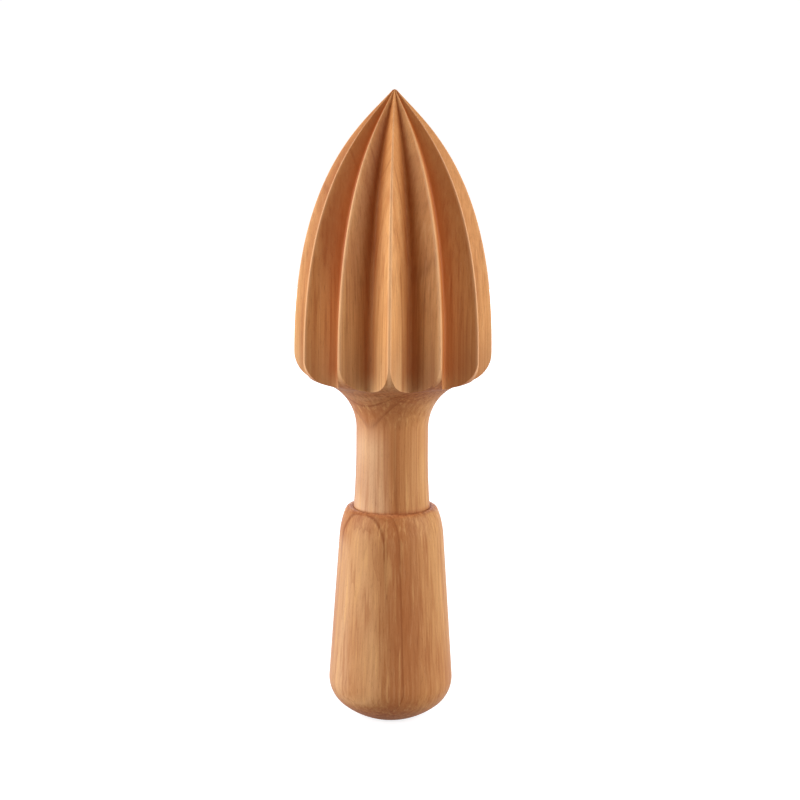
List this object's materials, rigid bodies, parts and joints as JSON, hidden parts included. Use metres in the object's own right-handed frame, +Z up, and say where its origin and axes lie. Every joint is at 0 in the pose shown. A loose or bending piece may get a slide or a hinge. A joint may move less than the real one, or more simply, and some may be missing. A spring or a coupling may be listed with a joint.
{
  "type": "citrus reamer",
  "caption": "Hand citrus reamer turned from hardwood: a pointed fluted head, a waisted neck with a crisp corner at its foot, and a tapered, dome-ended grip.",
  "frame": {"origin": "middle of the small flat under the grip's domed end, on which the reamer stands upright", "axes": "+Z up along the turning axis from the foot to the tip of the head; one ridge of the head faces -Y; +X to the right of it"},
  "size_m": [0.051, 0.051, 0.1644],
  "materials": {
    "wood": "oiled, satin, fine straight grain"
  },
  "bodies": {
    "root": {"reamer": "wood"}
  },
  "joints": []
}
